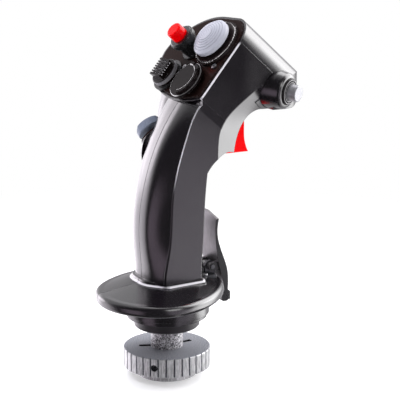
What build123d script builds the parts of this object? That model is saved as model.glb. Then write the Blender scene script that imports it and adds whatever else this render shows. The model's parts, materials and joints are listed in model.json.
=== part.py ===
from build123d import *
import os
from math import cos, radians, sin

# Flight joystick grip. Millimetres, +Z up along the coupling nut's axis, +Y forward (away from the
# pilot), +X to the pilot's right. The origin is the centre of the coupling nut's lower face.

# ---- coupling nut and neck ----
NUT_R = 25.0
NUT_HUB_R = 17.5
NUT_HUB_TOP = 5.2
NUT_TOP = 16.2
NUT_TEETH = 34
NUT_THREAD_R = 14.2
NUT_THREAD_LENGTH = 7.0
NUT_RELIEF_R = 14.7
NUT_WEB_BOTTOM = 12.0
NECK_R = 9.2
NECK_SHOULDER_R = 13.4
NECK_SHOULDER_BOTTOM = 7.3
NECK_SHOULDER_TOP = 11.3
RUNNING_GAP = 0.06
RING_R = 18.7
RING_BOTTOM = 28.7
COLLAR_BOTTOM = 34.8
COLLAR_R = 24.3
SPIGOT_R = 11.0
SPIGOT_TOP = 46.0
WIRE_BORE_R = 5.0

# ---- hand-rest flange ----
FLANGE_BOTTOM = 48.2
FLANGE_TOP = 54.4
COLUMN_FOOT = 56.5

# ---- column: how far back its rear, crease and front stand where it meets the hand rest ----
HALF_WIDTH = 17.5
SIDE_LEAN = 0.7
FOOT = (-17.9, -9.7, 17.0)
PARTING_GAP = 0.28

# ---- head ----
HEAD_TILT = 41.0
HEAD_TOP = 58.0
SHOULDER = 44.0
COVER_WALL = 2.9
CHEEK_SEAM = 25.0
CHEEK_DEPTH = 20.0
HEAD = Plane(
    origin=(0, 8.8, 157.3),
    x_dir=(1, 0, 0),
    z_dir=(0, -cos(radians(HEAD_TILT)), sin(radians(HEAD_TILT))),
)
PLATE_TOP = 0.7
PLATE_BOTTOM = -2.0

# ---- controls on the head's face: place across and up the face ----
TRIM_AT = (0.8, 38.8)
RELEASE_AT = (-18.3, 33.0)
CASTLE_AT = (0.0, 11.6)
RIDGED_AT = (-24.2, 12.8)
PEG_AT = (-14.2, 20.4)

# ---- gimbal shared by the four hats ----
PIN_R = 0.6
PIN_BORE_R = 0.65
GIMBAL_OUTER_R = 3.9
GIMBAL_INNER_R = 2.7
GIMBAL_HALF = 1.1
STEM_R = 1.9
CARRIER_CAVITY_R = 4.6
HAT_PIVOT = -6.0

# ---- index button on the head's right shoulder ----
INDEX_CENTRE = (20.2, 66.8, 160.6)
INDEX_TURN = 24.0
INDEX_BOSS_R = 10.8
INDEX = Plane(
    origin=INDEX_CENTRE,
    x_dir=(0, 0, 1),
    z_dir=(cos(radians(INDEX_TURN)), sin(radians(INDEX_TURN)), -0.11),
)

# ---- left thumb selector ----
SELECTOR = Plane(
    origin=(-20.0, 4.4, 135.3),
    x_dir=(0.237, 0.851, 0.47),
    z_dir=(-0.747, -0.149, 0.648),
)
SELECTOR_BOSS_R = 9.5

# ---- trigger, and the edge of the finger bay in front of it (y, z) ----
BAY_EDGE = ((37.2, 127.4), (38.6, 134.2), (40.5, 139.4), (44.3, 145.2), (53.5, 150.2))
TRIGGER_PIVOT = (38.0, 153.0)
TRIGGER_HALF = 6.0
TRIGGER_SLOT_HALF = 6.4
TRIGGER_PIN_R = 1.5

# ---- pinky paddle ----
PADDLE_PIVOT = (26.5, 60.5)
PADDLE_PIN_R = 1.25
PADDLE_LEFT = -9.0
PADDLE_RIGHT = 8.0

# ---- screws: (y, z) through the column, across and up the face, (x, y) on the hand rest ----
SHELL_SCREWS = ((5.0, 66.0), (5.5, 92.0), (8.5, 118.0))
PLATE_SCREWS = (PEG_AT, (11.3, 25.3))
BRACKET_SCREWS = ((-6.7, 21.2), (6.7, 21.2))
NECK_SCREW_CIRCLE = 14.8
NECK_SCREW_ANGLES = (30, 150, 270)


def write(shape, name):
    """Write one sub-part's solids, or a group of identical pieces, to its STEP file."""
    group = shape if isinstance(shape, list) else [shape]
    solids = [solid for piece in group for solid in piece.solids()]
    export_step(solids[0] if len(solids) == 1 else Compound(solids), f"parts/{name}.step")


def tube_z(radius, low, high, x=0.0, y=0.0):
    """A cylinder along Z from one height to another."""
    return Pos(x, y, (low + high) / 2) * Cylinder(radius, high - low)


def box_between(low, high):
    """A box from its lowest corner to its highest corner."""
    size = [b - a for a, b in zip(low, high)]
    middle = [(a + b) / 2 for a, b in zip(low, high)]
    return Pos(*middle) * Box(*size)


def bar_x(radius, start, end, y, z):
    """A cylinder along X at one place in the side view."""
    return Pos((start + end) / 2, y, z) * Rot(0, 90, 0) * Cylinder(radius, end - start)


def side_solid(edges, left, right):
    """Extrude an outline drawn in the side view (y, z) from one x to another."""
    face = make_face(Plane.YZ.offset(left) * edges)
    return extrude(face, amount=right - left, dir=(1, 0, 0))


def on_head(shape, place=(0.0, 0.0)):
    """Put a shape made around its own Z axis on the head's face."""
    return HEAD.location * Pos(place[0], place[1], 0) * shape


# ---------------------------------------------------------------- grip body


def column_section(height, rear, crease, front):
    """D-shaped section of the column: round at the rear and left, open past the flat right side."""
    bulge = crease - rear
    depth = front - rear
    past = HALF_WIDTH + 5.0
    left_rear = (-HALF_WIDTH, rear + 0.38 * depth)
    left_front = (-HALF_WIDTH, front - 0.26 * depth)
    right_rear = (past, rear + bulge + 5.5)
    right_front = (past, front - 0.25 * depth)
    outline = Spline(
        left_rear,
        (-14.6, rear + 0.13 * depth),
        (-8.5, rear + 0.03 * depth),
        (0, rear),
        (8.5, rear + 0.13 * bulge),
        (HALF_WIDTH, rear + bulge),
        right_rear,
        tangents=((0, -1), (0.7, 0.8)),
    )
    outline += Line(right_rear, right_front)
    outline += Spline(
        right_front,
        (HALF_WIDTH, front - 0.11 * depth),
        (9, front - 0.02 * depth),
        (0, front),
        (-10, front - 0.04 * depth),
        left_front,
        tangents=((-0.8, 0.6), (0, -1)),
    )
    outline += Line(left_front, left_rear)
    return Pos(0, 0, height) * make_face(outline)


def column():
    """The hand's column, from under the flange's top to inside the head."""
    sections = [
        column_section(52.0, *FOOT),
        column_section(80.0, -17.4, -8.6, 17.5),
        column_section(104.0, -15.7, -6.6, 18.8),
        column_section(120.0, -11.7, -3.7, 20.2),
        column_section(134.0, -6.3, 0.9, 22.0),
        column_section(146.0, 0.4, 5.6, 24.0),
        column_section(157.0, 8.4, 12.4, 28.0),
    ]
    return loft(sections)


def foot_bead():
    """The cove round the column's foot, where it meets the hand rest."""
    foot = column_section(0.0, *FOOT) - Pos(HALF_WIDTH + 15.9, 0) * Rectangle(30, 80)
    sizes = ((55.4, 1.13), (56.6, 1.085), (57.3, 1.04), (59.0, 1.0))
    return loft([Pos(0, 0, z) * scale(foot, by=(size, size, 1)) for z, size in sizes], ruled=True)


def guard_block():
    """The block in front of the column that carries the trigger's two cheeks."""
    outline = Spline((13.0, 112.0), (17.4, 120.2), (24.3, 126.4), (33.5, 128.2))
    outline += Polyline((33.5, 128.2), (37.2, 127.4), (60, 127.4), (60, 160), (13, 160), (13, 112))
    return side_solid(outline, -HALF_WIDTH, HALF_WIDTH + 6)


def side_trim():
    """Everything to the right of the column's flat side, which leans out a little towards its foot."""
    lean = Plane(origin=HEAD.origin + Vector(HALF_WIDTH, 0, 0), x_dir=-HEAD.z_dir, z_dir=HEAD.y_dir)
    block = lean.location * Rot(-SIDE_LEAN, 0, 0) * Pos(0, -50, 0) * Box(400, 100, 400)
    return block


def head_outline(narrow):
    """Outline of the head across the face; narrow squeezes the half left of the centre."""

    def at(x, v):
        return (x if x > 0 else x * narrow, v)

    edges = Line((HALF_WIDTH, SHOULDER), (HALF_WIDTH, 4.9))
    edges += ThreePointArc((HALF_WIDTH, 4.9), at(-7.8, 0), at(-30.8, 4.9))
    edges += ThreePointArc(at(-30.8, 4.9), at(-38.3, 8.9), at(-42.6, 15.5))
    edges += Line(at(-42.6, 15.5), at(-45.5, 26.5))
    edges += ThreePointArc(at(-45.5, 26.5), at(-44.8, 33.2), at(-41.5, 39.5))
    edges += ThreePointArc(at(-41.5, 39.5), at(-29.0, 51.5), at(-10.5, HEAD_TOP - 0.8))
    edges += Line(at(-10.5, HEAD_TOP - 0.8), (3.0, HEAD_TOP))
    edges += ThreePointArc((3.0, HEAD_TOP), (13.4, 53.9), (HALF_WIDTH, SHOULDER))
    return edges


def head_section(depth, narrow):
    """The head's outline as a face at one depth behind the face."""
    return HEAD.location * Pos(0, 0, -depth) * make_face(head_outline(narrow))


def head_block():
    """The head: full width behind the face, then narrowing on the left towards the nose."""
    brow = extrude(head_section(0, 1.0), amount=9.0, dir=-HEAD.z_dir)
    taper = loft([head_section(9.0, 1.0), head_section(34.0, 0.42)], ruled=True)
    nose = extrude(head_section(34.0, 0.42), amount=30.0, dir=-HEAD.z_dir)
    return brow + taper + nose


def finger_bay():
    """The space in front of the trigger, under the nose and around the nose's front."""
    edge = Spline(*BAY_EDGE) + Line(BAY_EDGE[-1], (73.5, 149.6))
    edge += Spline((73.5, 149.6), (80.8, 152.4), (84.2, 161.0), (82.2, 169.8), (76.0, 180.0))
    edge += Polyline((76.0, 180.0), (130, 180.0), (130, 90), (37.2, 90), (37.2, 127.4))
    return side_solid(edge, -60, 60)


def bay_bevel(sign):
    """The flat slanting band that turns each cheek inwards round the trigger's opening."""
    inner = Spline(*BAY_EDGE) + Polyline(BAY_EDGE[-1], (60, 150), (60, 110), (37.2, 110), BAY_EDGE[0])
    outer = Spline((21.2, 122.0), (21.0, 133.5), (22.7, 144.0), (33.5, 155.6), (52.0, 168.0))
    outer += Polyline((52.0, 168.0), (60, 167), (60, 110), (21.2, 110), (21.2, 122.0))
    narrow = make_face(Plane.YZ.offset(12.4) * inner)
    wide = make_face(Plane.YZ.offset(18.5) * outer)
    cutter = loft([narrow, wide], ruled=True)
    return cutter if sign > 0 else mirror(cutter, about=Plane.YZ)


def left_flare():
    """The swell that carries the head's left overhang down into the column."""
    low = Pos(-8.2, 6.0, 118.0) * Ellipse(9.2, 7.0)
    middle = Pos(-10.2, 9.6, 138.0) * Ellipse(9.8, 9.0)
    high = HEAD.location * Pos(-18.0, 3.2, -11.5) * Rot(90, 0, 0) * Ellipse(16.5, 9.5)
    return loft([low, middle, high])


def selector_room():
    """The space that the selector's ring and cap need outside the shell."""
    return SELECTOR.location * tube_z(SELECTOR_BOSS_R + 1.0, -1.6, 20)


def selector_fairing():
    """The bulge on the column's left side that carries the selector's boss."""
    root = Plane.YZ.offset(-15.0) * Pos(3.0, 126.0) * Ellipse(10.0, 14.5)
    tip = Plane.YZ.offset(-22.2) * Pos(1.8, 126.5) * Ellipse(5.5, 8.5)
    return loft([root, tip], ruled=True)


def nose_trim():
    """Everything outside the nose's rounded plan."""
    front = box_between((-60, 60, 120), (60, 120, 230))
    rounded = Pos(0, 60, 175) * extrude(Ellipse(18.6, 25.5), amount=60, both=True)
    return front - rounded


def flange_outline(size=1.0):
    """Plan of the hand rest, wider towards the pilot's right and rear, at full size or smaller."""
    middle_x, middle_y = 7.0, -7.0
    points = (
        (8.0, -46.0),
        (29.5, -39.8),
        (42.6, -24.5),
        (43.8, -9.5),
        (36.0, 9.5),
        (22.0, 24.5),
        (5.0, 31.6),
        (-12.0, 28.6),
        (-25.0, 16.0),
        (-30.0, -2.0),
        (-25.0, -22.0),
        (-12.0, -39.0),
    )
    scaled = [
        (middle_x + size * (x - middle_x), middle_y + size * (y - middle_y)) for x, y in points
    ]
    return make_face(Spline(*scaled, periodic=True))


def flange():
    """The hand rest: a plate with a rounded rim and a shallow rise to the column."""
    outline = Pos(0, 0, FLANGE_BOTTOM) * flange_outline()
    plate = extrude(outline, amount=FLANGE_TOP - FLANGE_BOTTOM, dir=(0, 0, 1))
    plate = fillet(plate.edges().filter_by(GeomType.PLANE, reverse=True).sort_by(Axis.Z)[-1], 2.6)
    plate = fillet(plate.edges().sort_by(Axis.Z)[0], 2.2)
    rise_foot = Pos(0, 0, FLANGE_TOP - 0.1) * flange_outline(0.89)
    rise_head = Pos(0, 0, COLUMN_FOOT) * Circle(21.0)
    return plate + loft([rise_foot, rise_head], ruled=True)


def collar():
    """The round collar under the flange, stepped at its lower edge."""
    ring = tube_z(COLLAR_R, COLLAR_BOTTOM + 2.2, FLANGE_BOTTOM + 1)
    ring += tube_z(COLLAR_R - 1.3, COLLAR_BOTTOM, COLLAR_BOTTOM + 2.2)
    return ring


def index_boss(gap):
    """The boss of the index button, rounded at its mouth and sunk in the cheek; gap makes it bigger."""
    mouth = ((2.0, 8.1), (1.7, 9.0), (1.1, 9.7), (0.2, 10.2), (-3.2, INDEX_BOSS_R))
    sections = [INDEX.location * Pos(0, 0, n) * Circle(r + gap) for n, r in mouth]
    root = Plane.YZ.offset(11.0) * Pos(62.8, 161.6) * Ellipse(13.0 + gap, 11.8 + gap)
    return loft(sections, ruled=True) + loft([sections[-1], root], ruled=True)


def outer_body():
    """The whole casting before it is hollowed and split."""
    trunk = column() + guard_block()
    trunk -= side_trim()
    body = trunk + head_block()
    body -= finger_bay()
    body -= bay_bevel(1)
    body -= bay_bevel(-1)
    body -= nose_trim()
    body += flange()
    body += collar()
    body += foot_bead()
    body += selector_fairing()
    body += left_flare()
    body -= selector_room()
    body += SELECTOR.location * tube_z(SELECTOR_BOSS_R, -9, -1.6)
    return body


def hollow_section(height, rear, front, half):
    """One level of the passage that runs up inside the column."""
    return Pos(0, (rear + front) / 2, height) * RectangleRounded(2 * half, front - rear, 3.5)


def column_hollow():
    """The passage for the wiring and the control board."""
    return loft(
        [
            hollow_section(SPIGOT_TOP - 0.5, -10.5, 11.0, 12.5),
            hollow_section(104.0, -9.5, 12.5, 12.5),
            hollow_section(134.0, 1.0, 15.5, 12.5),
            hollow_section(156.0, 13.5, 24.0, 11.0),
        ],
        ruled=True,
    )


def head_hollow():
    """The space behind the faceplate for the switches."""
    front = HEAD.location * Pos(0, 0, PLATE_BOTTOM + 0.1) * offset(make_face(head_outline(1.0)), -3.6)
    back = HEAD.location * Pos(0, 0, -17.0) * offset(make_face(head_outline(0.76)), -3.9)
    return loft([front, back], ruled=True)


def plate_blank(inset, low, high):
    """The faceplate's outline, moved inwards and given a thickness."""
    face = HEAD.location * Pos(0, 0, low) * offset(make_face(head_outline(1.0)), -inset)
    return extrude(face, amount=high - low, dir=HEAD.z_dir)


def trigger_slot():
    """The slot between the cheeks that the trigger swings in."""
    edges = Polyline(
        (25, 110), (25, 141), (33, 158.5), (43, 158.5), (51, 151.5), (62, 150.4), (62, 110), (25, 110)
    )
    return side_solid(edges, -TRIGGER_SLOT_HALF, TRIGGER_SLOT_HALF)


def neck_screw_places():
    """Where the three screws that hold the neck casting stand."""
    return [
        (NECK_SCREW_CIRCLE * cos(radians(a)), NECK_SCREW_CIRCLE * sin(radians(a)))
        for a in NECK_SCREW_ANGLES
    ]


def hollowed_body():
    """The casting with its hollows, screw bosses and seats for the controls."""
    body = outer_body()
    body -= column_hollow()
    body -= head_hollow()
    body -= plate_blank(1.3, PLATE_BOTTOM, 1.0)
    for y, z in SHELL_SCREWS:
        body += bar_x(3.0, -13.5, 13.5, y, z)
    for x, v in PLATE_SCREWS:
        body += on_head(tube_z(2.4, -18, PLATE_BOTTOM), (x, v))
    body -= trigger_slot()
    body -= box_between((-9.1, 18.0, FLANGE_TOP), (9.1, 29.0, 59.0))
    for x, y in BRACKET_SCREWS:
        body -= tube_z(1.3, 50, FLANGE_TOP + 1, x, y)
    for place in (TRIM_AT, RIDGED_AT):
        body -= on_head(tube_z(6.65, -13.05, PLATE_BOTTOM + 0.1), place)
    body -= on_head(tube_z(7.25, -14.05, PLATE_BOTTOM + 0.1), CASTLE_AT)
    body -= on_head(tube_z(6.25, -14.05, PLATE_BOTTOM + 0.1), RELEASE_AT)
    for y, z in SHELL_SCREWS:
        body -= bar_x(1.25, -20, 9, y, z)
        body -= bar_x(2.5, -20, -14.8, y, z)
    for x, v in PLATE_SCREWS:
        body -= on_head(tube_z(0.95, -9, 1), (x, v))
    for x, y in neck_screw_places():
        body -= tube_z(1.3, 30, 44.5, x, y)
    body -= tube_z(SPIGOT_R + 0.1, 30, SPIGOT_TOP + 0.1)
    body -= bar_x(TRIGGER_PIN_R + 0.02, -13, 13, *TRIGGER_PIVOT)
    body -= SELECTOR.location * tube_z(6.65, -13.05, 1)
    body -= on_head(Pos(0, HEAD_TOP, -33.0) * Rot(-90, 0, 0) * tube_z(1.25, -10.5, 2))
    return body


def cover_region(gap):
    """The space that the right cover fills: the column's right half and the head's right wall."""
    below = HEAD.location * Pos(0, -150 - gap, 0) * Box(400, 300, 400)
    below &= box_between((gap, -80, 30), (80, 80, 180))
    wall_left = HALF_WIDTH - COVER_WALL + gap
    wall_high = SHOULDER - gap
    wall = HEAD.location * Pos((wall_left + 60) / 2, (wall_high - 2) / 2, -50)
    wall = wall * Box(60 - wall_left, wall_high + 2, 140)
    cheek_high = CHEEK_SEAM - gap
    cheek = HEAD.location * Pos((gap + 60) / 2, (cheek_high - 2) / 2, -CHEEK_DEPTH - gap - 30)
    cheek = cheek * Box(60 - gap, cheek_high + 2, 60)
    under_boss = box_between((0, 59.5 - gap, 140), (80, 100, 159 + gap))
    return below + wall + cheek - under_boss


def shells():
    """The left casting, which carries the head and the index boss, and the right cover."""
    body = hollowed_body()
    cover = body & cover_region(0)
    cover -= index_boss(PARTING_GAP)
    main = body - cover_region(-PARTING_GAP)
    main += index_boss(0)
    main -= INDEX.location * tube_z(7.7, -9.05, 5)
    return main, cover


# ---------------------------------------------------------------- fixed pieces


def faceplate():
    """The plate that carries the hats and buttons, stepped at its edge."""
    plate = plate_blank(1.5, PLATE_BOTTOM, 0.3) + plate_blank(2.1, 0.3, PLATE_TOP)
    plate -= on_head(tube_z(3.7, -5, 5), TRIM_AT)
    plate -= on_head(tube_z(6.22, -5, 9), RELEASE_AT)
    plate -= on_head(tube_z(3.9, -5, 5), CASTLE_AT)
    plate -= on_head(tube_z(3.7, -5, 5), RIDGED_AT)
    for x, v in PLATE_SCREWS:
        plate -= on_head(tube_z(0.95, -5, 5), (x, v))
    return plate


def neck_casting():
    """Lower ring, neck and the shoulder that keeps the coupling nut on."""
    body = tube_z(RING_R, RING_BOTTOM, COLLAR_BOTTOM)
    body = chamfer(body.edges().sort_by(Axis.Z)[0], 0.8)
    body += tube_z(SPIGOT_R, COLLAR_BOTTOM, SPIGOT_TOP)
    body += tube_z(NECK_R, NECK_SHOULDER_BOTTOM, RING_BOTTOM)
    body += tube_z(NECK_SHOULDER_R, NECK_SHOULDER_BOTTOM, NECK_SHOULDER_TOP)
    body -= tube_z(WIRE_BORE_R, 0, 60)
    body -= tube_z(8.05, 0, 14)
    for x, y in neck_screw_places():
        body -= tube_z(1.3, 20, 40, x, y)
        body -= tube_z(2.4, 20, RING_BOTTOM + 2.0, x, y)
    return body


def screw(head_r, head_height, shank_r, length):
    """A button-head socket screw, its shank pointing down from the origin."""
    head = tube_z(head_r, 0, head_height)
    head = fillet(head.edges().sort_by(Axis.Z)[-1], head_height * 0.45)
    socket = extrude(Pos(0, 0, head_height * 0.4) * RegularPolygon(head_r * 0.42, 6), amount=5)
    return head - socket + tube_z(shank_r, -length, 0)


def neck_screws():
    """Three screws, up through the lower ring into the collar."""
    piece = Pos(0, 0, RING_BOTTOM + 2.0) * Rot(180, 0, 0) * screw(2.3, 1.8, 1.25, 11)
    return [Pos(x, y) * piece for x, y in neck_screw_places()]


def shell_screws():
    """Screws that clamp the cover to the main casting, their heads on the left."""
    piece = Rot(0, -90, 0) * screw(2.4, 2.0, 1.2, 22.5)
    return [Pos(-14.8, y, z) * piece for y, z in SHELL_SCREWS]


def plate_screws():
    """Small screws that hold the faceplate."""
    piece = Pos(0, 0, PLATE_TOP) * screw(1.7, 1.0, 0.9, 8.5)
    return [on_head(piece, place) for place in PLATE_SCREWS]


def top_screw():
    """The single screw in the top of the nose."""
    return on_head(Pos(0, HEAD_TOP, -33.0) * Rot(-90, 0, 0) * screw(2.4, 1.1, 1.2, 10))


def connector_insert():
    """The insulating plug in the neck's mouth, keyed on one side."""
    plug = tube_z(8.0, NECK_SHOULDER_BOTTOM + 0.4, 13.9)
    plug -= box_between((-1.0, 6.9, 0), (1.0, 9, 20))
    for x, y in pin_places():
        plug -= tube_z(0.5, 5, 20, x, y)
    return plug


def pin_places():
    """Five contacts on a circle."""
    return [(4.5 * cos(radians(72 * k + 18)), 4.5 * sin(radians(72 * k + 18))) for k in range(5)]


def connector_pins():
    """Spring contacts, from their noses at the plug's face to the wires behind it."""
    return [tube_z(0.5, NECK_SHOULDER_BOTTOM, 15.2, x, y) for x, y in pin_places()]


def control_board():
    """Circuit board with its processor, connectors and chips."""
    board = box_between((-9.5, -5.2, 60), (9.5, -3.6, 112))
    board += box_between((-4, -3.6, 82), (4, -2.4, 90))
    board += box_between((-8, -3.6, 100), (8, -1.2, 106))
    board += box_between((-8, -3.6, 63), (3, -1.6, 68))
    for k in range(4):
        board += box_between((-7 + 4 * k, -3.6, 73), (-5 + 4 * k, -3.0, 76))
    return board


def wiring_harness():
    """The bundle of wires from the plug up through the neck to the board."""
    places = ((0, 0, 16.5), (0, 0, 34), (0, -1.8, 46), (0, -4.4, 59.5))
    path = Spline(*places, tangents=((0, 0, 1), (0, 0, 1)))
    return sweep(Plane(origin=path @ 0, z_dir=path % 0) * Circle(1.7), path=path)


def washer():
    """The slip washer between the neck's shoulder and the nut's web."""
    low = NECK_SHOULDER_TOP + 0.05
    return tube_z(NECK_SHOULDER_R, low, NUT_WEB_BOTTOM - 0.05) - tube_z(NECK_R + RUNNING_GAP, 0, 30)


def coupling_nut():
    """The toothed nut that clamps the grip to its base."""
    body = tube_z(NUT_R, NUT_HUB_TOP, NUT_TOP) + tube_z(NUT_HUB_R, 0, NUT_HUB_TOP)
    body = chamfer(body.edges().filter_by(GeomType.CIRCLE).sort_by(Axis.Z)[-1], 0.5)
    body = chamfer(body.edges().filter_by(GeomType.CIRCLE).sort_by(Axis.Z)[0], 0.5)
    groove = extrude(Polygon((0, 0), (2.2, -1.0), (2.2, 1.0), align=None), amount=30)
    for k in range(NUT_TEETH):
        angle = 360 / NUT_TEETH * k
        body -= Rot(0, 0, angle) * Pos(NUT_R - 1.3, 0, NUT_HUB_TOP - 1) * groove
    body -= tube_z(NUT_THREAD_R, -1, NUT_THREAD_LENGTH + 0.1)
    body -= tube_z(NUT_RELIEF_R, NUT_THREAD_LENGTH, NUT_WEB_BOTTOM)
    body -= tube_z(NECK_R + RUNNING_GAP, 0, 30)
    for angle in (89, 242):
        body -= Rot(0, 0, angle) * box_between((9.0, -1.5, 10), (16.0, 1.5, 20))
    body -= nut_screw_place() * tube_z(2.0, 19.0, 30)
    return body


def nut_screw_place():
    """Radial seat of the nut's locking screw, halfway between two grooves."""
    return Pos(0, 0, 10.7) * Rot(0, 0, -360 / NUT_TEETH * 4.5) * Rot(0, 90, 0)


def nut_set_screw():
    """Socket set screw that locks the nut."""
    body = tube_z(1.97, 19.2, 23.0)
    body -= extrude(Pos(0, 0, 21) * RegularPolygon(1.0, 6), amount=4)
    return nut_screw_place() * body


# ---------------------------------------------------------------- hats


def gimbal():
    """The ring between a hat and its switch: pins along X, bores along Y for the hat's pins."""
    ring = tube_z(GIMBAL_OUTER_R, -GIMBAL_HALF, GIMBAL_HALF)
    ring -= tube_z(GIMBAL_INNER_R, -2, 2)
    ring += bar_x(PIN_R, 3.3, 5.1, 0, 0) + bar_x(PIN_R, -5.1, -3.3, 0, 0)
    ring -= Rot(0, 0, 90) * bar_x(PIN_BORE_R, -6, 6, 0, 0)
    return Pos(0, 0, HAT_PIVOT) * ring


def hat_stem(top):
    """A hat's stem with its two cross pins."""
    stem = tube_z(STEM_R, HAT_PIVOT - 1.2, top)
    stem += Pos(0, 0, HAT_PIVOT) * Rot(0, 0, 90) * bar_x(PIN_R, -3.5, 3.5, 0, 0)
    return stem


def hat_switch():
    """Fixed switch body with the gimbal's bearings."""
    body = tube_z(6.6, -13.0, PLATE_BOTTOM)
    body -= tube_z(CARRIER_CAVITY_R, HAT_PIVOT - 2.4, 0)
    body -= Pos(0, 0, HAT_PIVOT) * bar_x(PIN_BORE_R, -8, 8, 0, 0)
    return body


def castle_carriage():
    """The sliding cup that holds the castle hat's gimbal and lets the hat be pressed."""
    body = tube_z(5.6, -10.4, -3.0)
    body -= tube_z(CARRIER_CAVITY_R, HAT_PIVOT - 2.4, 0)
    body -= Pos(0, 0, HAT_PIVOT) * bar_x(PIN_BORE_R, -8, 8, 0, 0)
    return body


def castle_switch():
    """The castle hat's switch body, with a push contact in its floor."""
    body = tube_z(7.2, -14.0, PLATE_BOTTOM)
    body -= tube_z(5.6 + RUNNING_GAP, -12.0, 0)
    return body + tube_z(1.2, -12.0, -11.3)


def trim_bezel():
    """The stepped ring round the trim hat with four patches of fine teeth."""
    ring = tube_z(14.8, PLATE_TOP, 2.2) + tube_z(13.7, 2.2, 3.4)
    ring = chamfer(ring.edges().filter_by(GeomType.CIRCLE).sort_by(Axis.Z)[-1], 0.5)
    tooth = box_between((12.9, -0.35, 2.2), (14.5, 0.35, 2.9))
    for quarter in range(4):
        for k in range(-3, 4):
            ring += Rot(0, 0, 90 * quarter + 35 + 6.5 * k) * tooth
    return ring - tube_z(8.0, 0, 5)


def trim_hat():
    """The domed trim hat with concentric finger rings."""
    rim = 11.6
    crown = 12.6
    sphere_r = (rim * rim + (crown - 7.8) ** 2) / (2 * (crown - 7.8))
    body = tube_z(rim, 5.3, 12)
    body &= Pos(0, 0, crown - sphere_r) * Sphere(sphere_r)
    body -= tube_z(9.6, 5, 6.3)
    for k in range(1, 9):
        r = 1.25 * k
        drop = crown - sphere_r + (sphere_r**2 - r**2) ** 0.5
        body -= Pos(0, 0, drop) * Torus(r, 0.2)
    return body + hat_stem(7.0)


def slice_of(angle, half_span):
    """A wedge from the Z axis out past a hat's rim, centred on one angle."""
    reach = 14 / cos(radians(half_span))
    spokes = ((angle - half_span, reach), (angle, 20), (angle + half_span, reach))
    corners = [(r * cos(radians(a)), r * sin(radians(a))) for a, r in spokes]
    return extrude(Polygon((0, 0), *corners, align=None), amount=20)


def castle_hat():
    """Turret hat: a flat disc with one long wall on its right and two short ones above it."""
    body = tube_z(11.3, 3.3, 4.9)
    body = chamfer(body.edges().sort_by(Axis.Z)[-1], 0.3)
    wall = tube_z(10.9, 4.8, 7.3) - tube_z(8.3, 4, 8)
    wall = chamfer(wall.edges().sort_by(Axis.Z)[-2:], 0.4)
    for angle, half_span in ((-20, 52), (54, 14), (87, 10)):
        body += wall & slice_of(angle, half_span)
    return body + hat_stem(4.0)


def ridged_bezel():
    """Thin ring round the ridged hat."""
    return tube_z(10.2, PLATE_TOP, 1.9) - tube_z(8.2, 0, 5)


def ridged_hat():
    """Round grey base with a block of seven ribs across its top."""
    body = tube_z(8.6, 3.2, 5.6)
    body = fillet(body.edges().sort_by(Axis.Z)[-1], 0.8)
    block = Pos(0.6, 0.4, 7.2) * Box(10.8, 11.4, 4.2)
    block &= tube_z(7.4, 0, 12)
    for k in range(-3, 3):
        block -= Pos(0, 1.6 * (k + 0.5) + 0.4, 9.2) * Box(14, 0.75, 2.2)
    return body + block + hat_stem(5.0)


def selector_bezel():
    """Ring on the selector's boss."""
    return tube_z(8.6, -1.6, -0.2) - tube_z(4.2, -3, 1)


def selector_cap():
    """Saddle-shaped cap: raised at its two ends, dished between them."""
    body = tube_z(7.9, 3.2, 7.6)
    body -= Pos(0, 0, 15.6) * Rot(0, 90, 0) * Cylinder(9.6, 30)
    body = fillet(body.edges().sort_by(Axis.Z)[0], 0.5)
    return body + hat_stem(4.6)


def selector_switch():
    """Fixed switch body of the selector."""
    body = tube_z(6.6, -13.0, -1.65)
    body -= tube_z(CARRIER_CAVITY_R, HAT_PIVOT - 2.4, 0)
    body -= Pos(0, 0, HAT_PIVOT) * bar_x(PIN_BORE_R, -8, 8, 0, 0)
    return body


# ---------------------------------------------------------------- push buttons


def coil(radius, wire, length, turns):
    """A helical spring standing on the origin."""
    helix = Helix(pitch=length / turns, height=length, radius=radius)
    profile = Plane(origin=helix @ 0, z_dir=helix % 0) * Circle(wire)
    return sweep(profile, path=helix, is_frenet=True)


def release_collar():
    """The barrel round the release button: narrow beside the trim hat, wider near its mouth."""
    body = tube_z(6.2, -11.0, 9.0) + tube_z(7.3, 8.6, 13.0) + tube_z(7.8, 9.6, 12.0)
    body = chamfer(body.edges().filter_by(GeomType.CIRCLE).sort_by(Axis.Z)[-1], 0.5)
    body += tube_z(7.6, PLATE_TOP, 1.7)
    body -= tube_z(5.7, -12, -4.95)
    body -= tube_z(4.8, -6, 20)
    across = TRIM_AT[0] - RELEASE_AT[0]
    up = TRIM_AT[1] - RELEASE_AT[1]
    return body - tube_z(14.9, PLATE_TOP, 3.6, across, up)


def release_button():
    """The red button, its retaining flange at the bottom of the barrel."""
    body = tube_z(4.74, -6.2, 19.2)
    body = fillet(body.edges().sort_by(Axis.Z)[-1], 1.0)
    return body + tube_z(5.6, -6.2, -5.0)


def release_switch():
    """Push switch under the release button."""
    return tube_z(6.2, -14.0, -11.02) + tube_z(1.3, -11.02, -9.4)


def index_bezel():
    """Ring set in the index button's boss."""
    body = tube_z(7.65, -6.0, 3.2)
    body = chamfer(body.edges().sort_by(Axis.Z)[-1], 0.6)
    body -= tube_z(6.1, -7, -0.9)
    body -= tube_z(4.8, -2, 5)
    return body - (tube_z(6.6, 2.2, 5) - tube_z(5.7, 1, 6))


def index_button():
    """The silver button with its flange."""
    body = tube_z(4.74, -2.2, 8.6)
    body = fillet(body.edges().sort_by(Axis.Z)[-1], 0.8)
    return body + tube_z(6.0, -2.2, -0.95)


def index_switch():
    """Push switch under the index button."""
    return tube_z(7.6, -9.0, -6.02) + tube_z(1.2, -6.02, -4.6)


# ---------------------------------------------------------------- trigger and paddle


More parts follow.
